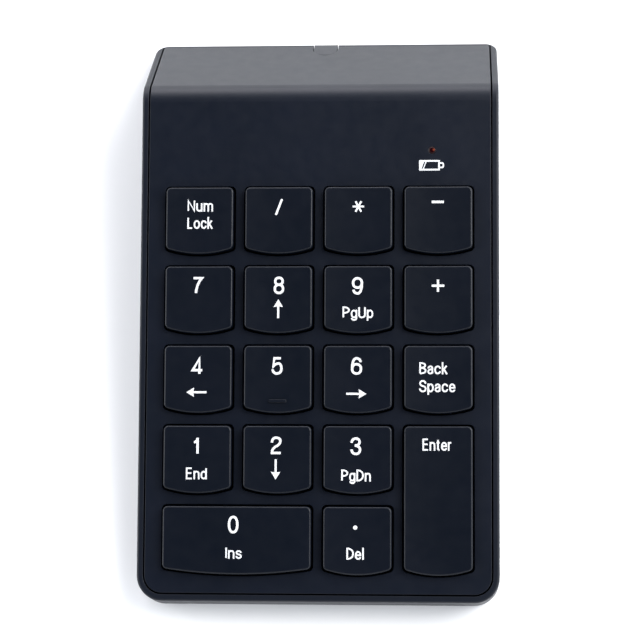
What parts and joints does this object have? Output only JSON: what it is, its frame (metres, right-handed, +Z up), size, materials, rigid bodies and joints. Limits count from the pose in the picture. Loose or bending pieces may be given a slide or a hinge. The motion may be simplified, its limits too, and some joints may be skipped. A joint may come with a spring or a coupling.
{
  "type": "numeric keypad",
  "caption": "Wireless numeric keypad: sloping wedge case with raised square-topped keys, two of them double length, a lamp, and a battery door underneath.",
  "frame": {"origin": "on the desk, under the middle of the keypad's outline", "axes": "+X to the user's right, +Y from the user towards the raised rear, +Z up"},
  "size_m": [0.086, 0.141, 0.0246],
  "materials": {
    "case_plastic": "fine matte texture, very dark blue-grey",
    "key_plastic": "smooth satin, very dark blue-grey",
    "lens_red": "clear dark red",
    "silicone": "translucent milky silicone",
    "foot_rubber": "matte black",
    "film": "clear printed film",
    "steel": "bright zinc plated",
    "spring_steel": "nickel plated",
    "board": "green solder mask",
    "component_black": "moulded",
    "led_clear": "red tinted",
    "cell_jacket": "printed sleeve, steel ends"
  },
  "bodies": {
    "case": {"bottom_case": "case_plastic", "top_case": "case_plastic", "dome_num_lock": "silicone", "dome_divide": "silicone", "dome_multiply": "silicone", "dome_minus": "silicone", "dome_7": "silicone", "dome_8": "silicone", "dome_9": "silicone", "dome_plus": "silicone", "dome_4": "silicone", "dome_5": "silicone", "dome_6": "silicone", "dome_backspace": "silicone", "dome_1": "silicone", "dome_2": "silicone", "dome_3": "silicone", "dome_enter": "silicone", "dome_0": "silicone", "dome_decimal": "silicone", "membrane": "film", "support_plate": "steel", "pcb": "board", "pcb_components": "component_black", "membrane_clamp_bar": "component_black", "pcb_screws": "steel", "led": "led_clear", "led_lens": "lens_red", "battery_front": "cell_jacket", "battery_rear": "cell_jacket", "battery_spring_front": "spring_steel", "battery_spring_rear": "spring_steel", "battery_plates": "spring_steel", "switch_housing": "component_black", "case_screws": "steel", "rubber_feet": "foot_rubber"},
    "battery_door": {"battery_door": "case_plastic"},
    "key_num_lock": {"key_num_lock": "key_plastic"},
    "key_divide": {"key_divide": "key_plastic"},
    "key_multiply": {"key_multiply": "key_plastic"},
    "key_minus": {"key_minus": "key_plastic"},
    "key_7": {"key_7": "key_plastic"},
    "key_8": {"key_8": "key_plastic"},
    "key_9": {"key_9": "key_plastic"},
    "key_plus": {"key_plus": "key_plastic"},
    "key_4": {"key_4": "key_plastic"},
    "key_5": {"key_5": "key_plastic"},
    "key_6": {"key_6": "key_plastic"},
    "key_backspace": {"key_backspace": "key_plastic"},
    "key_1": {"key_1": "key_plastic"},
    "key_2": {"key_2": "key_plastic"},
    "key_3": {"key_3": "key_plastic"},
    "key_enter": {"key_enter": "key_plastic"},
    "key_0": {"key_0": "key_plastic"},
    "key_decimal": {"key_decimal": "key_plastic"},
    "stabilizer_wire_0": {"stabilizer_wire_0": "steel"},
    "stabilizer_wire_enter": {"stabilizer_wire_enter": "steel"},
    "switch_knob": {"switch_knob": "key_plastic"}
  },
  "joints": [
    {"name": "key_num_lock_press", "type": "slide", "parent": "case", "child": "key_num_lock", "axis": [0, 0.1219, -0.9925], "range_m": [0, 0.002], "stiffness_N_per_m": 250, "springref_m": -0.0006, "deforming": ["dome_num_lock"]},
    {"name": "key_divide_press", "type": "slide", "parent": "case", "child": "key_divide", "axis": [0, 0.1219, -0.9925], "range_m": [0, 0.002], "stiffness_N_per_m": 250, "springref_m": -0.0006, "deforming": ["dome_divide"]},
    {"name": "key_multiply_press", "type": "slide", "parent": "case", "child": "key_multiply", "axis": [0, 0.1219, -0.9925], "range_m": [0, 0.002], "stiffness_N_per_m": 250, "springref_m": -0.0006, "deforming": ["dome_multiply"]},
    {"name": "key_minus_press", "type": "slide", "parent": "case", "child": "key_minus", "axis": [0, 0.1219, -0.9925], "range_m": [0, 0.002], "stiffness_N_per_m": 250, "springref_m": -0.0006, "deforming": ["dome_minus"]},
    {"name": "key_7_press", "type": "slide", "parent": "case", "child": "key_7", "axis": [0, 0.1219, -0.9925], "range_m": [0, 0.002], "stiffness_N_per_m": 250, "springref_m": -0.0006, "deforming": ["dome_7"]},
    {"name": "key_8_press", "type": "slide", "parent": "case", "child": "key_8", "axis": [0, 0.1219, -0.9925], "range_m": [0, 0.002], "stiffness_N_per_m": 250, "springref_m": -0.0006, "deforming": ["dome_8"]},
    {"name": "key_9_press", "type": "slide", "parent": "case", "child": "key_9", "axis": [0, 0.1219, -0.9925], "range_m": [0, 0.002], "stiffness_N_per_m": 250, "springref_m": -0.0006, "deforming": ["dome_9"]},
    {"name": "key_plus_press", "type": "slide", "parent": "case", "child": "key_plus", "axis": [0, 0.1219, -0.9925], "range_m": [0, 0.002], "stiffness_N_per_m": 250, "springref_m": -0.0006, "deforming": ["dome_plus"]},
    {"name": "key_4_press", "type": "slide", "parent": "case", "child": "key_4", "axis": [0, 0.1219, -0.9925], "range_m": [0, 0.002], "stiffness_N_per_m": 250, "springref_m": -0.0006, "deforming": ["dome_4"]},
    {"name": "key_5_press", "type": "slide", "parent": "case", "child": "key_5", "axis": [0, 0.1219, -0.9925], "range_m": [0, 0.002], "stiffness_N_per_m": 250, "springref_m": -0.0006, "deforming": ["dome_5"]},
    {"name": "key_6_press", "type": "slide", "parent": "case", "child": "key_6", "axis": [0, 0.1219, -0.9925], "range_m": [0, 0.002], "stiffness_N_per_m": 250, "springref_m": -0.0006, "deforming": ["dome_6"]},
    {"name": "key_backspace_press", "type": "slide", "parent": "case", "child": "key_backspace", "axis": [0, 0.1219, -0.9925], "range_m": [0, 0.002], "stiffness_N_per_m": 250, "springref_m": -0.0006, "deforming": ["dome_backspace"]},
    {"name": "key_1_press", "type": "slide", "parent": "case", "child": "key_1", "axis": [0, 0.1219, -0.9925], "range_m": [0, 0.002], "stiffness_N_per_m": 250, "springref_m": -0.0006, "deforming": ["dome_1"]},
    {"name": "key_2_press", "type": "slide", "parent": "case", "child": "key_2", "axis": [0, 0.1219, -0.9925], "range_m": [0, 0.002], "stiffness_N_per_m": 250, "springref_m": -0.0006, "deforming": ["dome_2"]},
    {"name": "key_3_press", "type": "slide", "parent": "case", "child": "key_3", "axis": [0, 0.1219, -0.9925], "range_m": [0, 0.002], "stiffness_N_per_m": 250, "springref_m": -0.0006, "deforming": ["dome_3"]},
    {"name": "key_enter_press", "type": "slide", "parent": "case", "child": "key_enter", "axis": [0, 0.1219, -0.9925], "range_m": [0, 0.002], "stiffness_N_per_m": 250, "springref_m": -0.0006, "deforming": ["dome_enter"]},
    {"name": "key_0_press", "type": "slide", "parent": "case", "child": "key_0", "axis": [0, 0.1219, -0.9925], "range_m": [0, 0.002], "stiffness_N_per_m": 250, "springref_m": -0.0006, "deforming": ["dome_0"]},
    {"name": "key_decimal_press", "type": "slide", "parent": "case", "child": "key_decimal", "axis": [0, 0.1219, -0.9925], "range_m": [0, 0.002], "stiffness_N_per_m": 250, "springref_m": -0.0006, "deforming": ["dome_decimal"]},
    {"name": "battery_door_hinge", "type": "hinge", "parent": "case", "child": "battery_door", "pos_m": [0, 0.037, 0.0012], "axis": [-1, 0, 0], "range_deg": [0, 75]},
    {"name": "power_switch_slide", "type": "slide", "parent": "case", "child": "switch_knob", "axis": [1, 0, 0], "range_m": [0, 0.003]},
    {"name": "stabilizer_0_turn", "type": "hinge", "parent": "case", "child": "stabilizer_wire_0", "pos_m": [-0.01905, -0.05586, 0.00847], "axis": [-1, 0, 0], "range_deg": [0, 18.92]},
    {"name": "stabilizer_enter_turn", "type": "hinge", "parent": "case", "child": "stabilizer_wire_enter", "pos_m": [0.02857, -0.0464, 0.00963], "axis": [0, 0.9925, 0.1219], "range_deg": [0, 18.92]}
  ],
  "couplings": [
    {"joint": "stabilizer_0_turn", "follows": "key_0_press", "rad_per_m": 163.33},
    {"joint": "stabilizer_enter_turn", "follows": "key_enter_press", "rad_per_m": 163.33}
  ]
}
